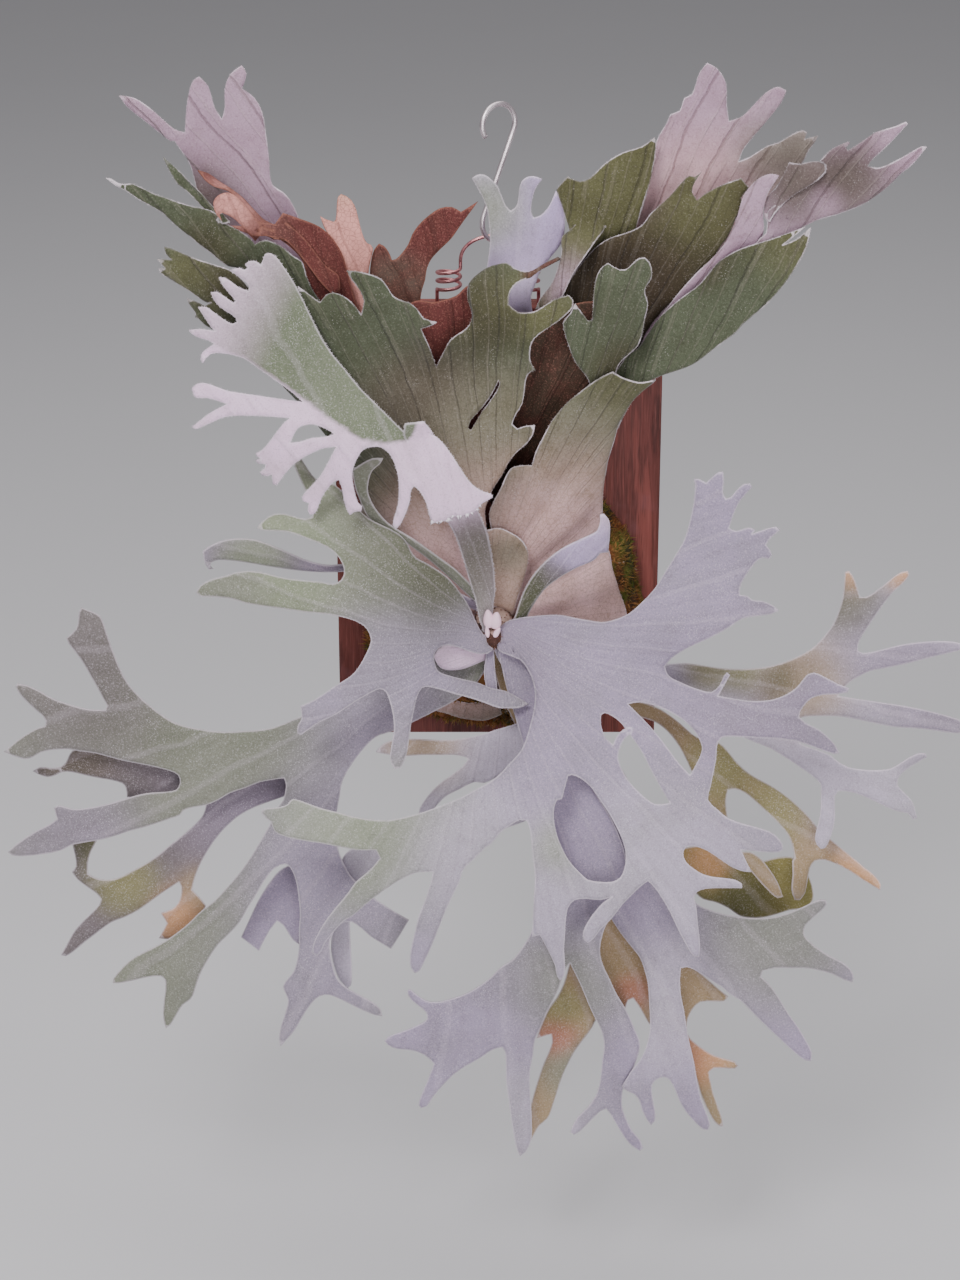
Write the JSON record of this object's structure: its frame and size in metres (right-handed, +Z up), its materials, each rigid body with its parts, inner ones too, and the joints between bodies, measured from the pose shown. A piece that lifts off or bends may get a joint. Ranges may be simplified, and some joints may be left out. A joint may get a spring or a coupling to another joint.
{
  "type": "mounted staghorn fern",
  "caption": "Staghorn fern with forked antler fronds and lobed shield fronds, growing from a mossy mound on a wooden board that hangs by a wire and an S-hook.",
  "frame": {"origin": "centre of the board's back face", "axes": "+Z up, -Y out of the board's front towards the viewer, +X to the viewer's right"},
  "size_m": [0.7424, 0.2476, 0.8443],
  "materials": {
    "board": "matt stain",
    "hanger_wire": "copper-coloured wire",
    "s_hook": "zinc-plated",
    "moss": "rough moss",
    "rhizome": "scaly",
    "antler": "felted leaf",
    "shield": "felted leaf",
    "shield_pale": "felted leaf",
    "dead_brown": "dry leaf",
    "dead_salmon": "dry leaf"
  },
  "bodies": {
    "root": {"board": "board", "hanger_wire": "hanger_wire", "s_hook": "s_hook", "moss_mound": "moss", "rhizome": "rhizome", "antler_front": "antler", "antler_left": "antler", "antler_lower_left": "antler", "antler_behind_left": "antler", "antler_crest": "antler", "antler_right_back": "antler", "antler_right_lower": "antler", "antler_lower": "antler", "antler_lower_right": "antler", "antler_bottom_back": "antler", "antler_spoon": "antler", "antler_young": "antler", "antler_back_top": "antler", "antler_curled": "antler", "antler_cut_behind": "antler", "antler_inner_left": "antler", "antler_olive": "antler", "antler_small_pale": "antler", "antler_petiole": "antler", "shield_front": "shield", "shield_right": "shield", "shield_upper_right": "shield", "shield_mitten": "shield", "shield_scalloped": "shield", "shield_olive": "shield", "shield_lavender": "shield_pale", "shield_fan": "shield_pale", "shield_pale_right": "shield_pale", "shield_pale_left": "shield_pale", "shield_left_low": "shield", "shield_left_long": "shield", "shield_young": "shield", "dead_left": "dead_brown", "dead_salmon": "dead_salmon", "dead_centre": "dead_brown", "dead_right": "dead_brown", "dead_inner": "dead_brown"}
  },
  "joints": []
}
